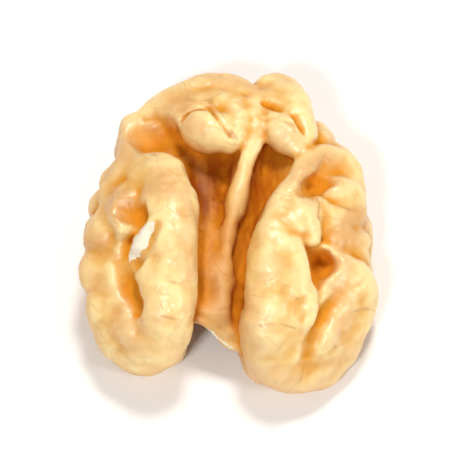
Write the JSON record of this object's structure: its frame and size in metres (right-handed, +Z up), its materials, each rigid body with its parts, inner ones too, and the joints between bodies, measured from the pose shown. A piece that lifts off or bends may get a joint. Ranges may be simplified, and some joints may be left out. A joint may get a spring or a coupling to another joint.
{
  "type": "walnut half",
  "caption": "Half of a shelled walnut kernel: two folded lobes joined at one end, with a ridged trough between them, lying on its inner face.",
  "frame": {"origin": "on the surface that the half lies on, under the middle of its box", "axes": "+Z up, out of the folded outer side; Y along the kernel, with the lobes parting at -Y and joined at +Y; X across the two lobes"},
  "size_m": [0.0296, 0.033, 0.0134],
  "materials": {
    "kernel_skin": "thin satin seed skin, golden tan on the folds and orange-brown in the creases"
  },
  "bodies": {
    "root": {"kernel": "kernel_skin"}
  },
  "joints": []
}
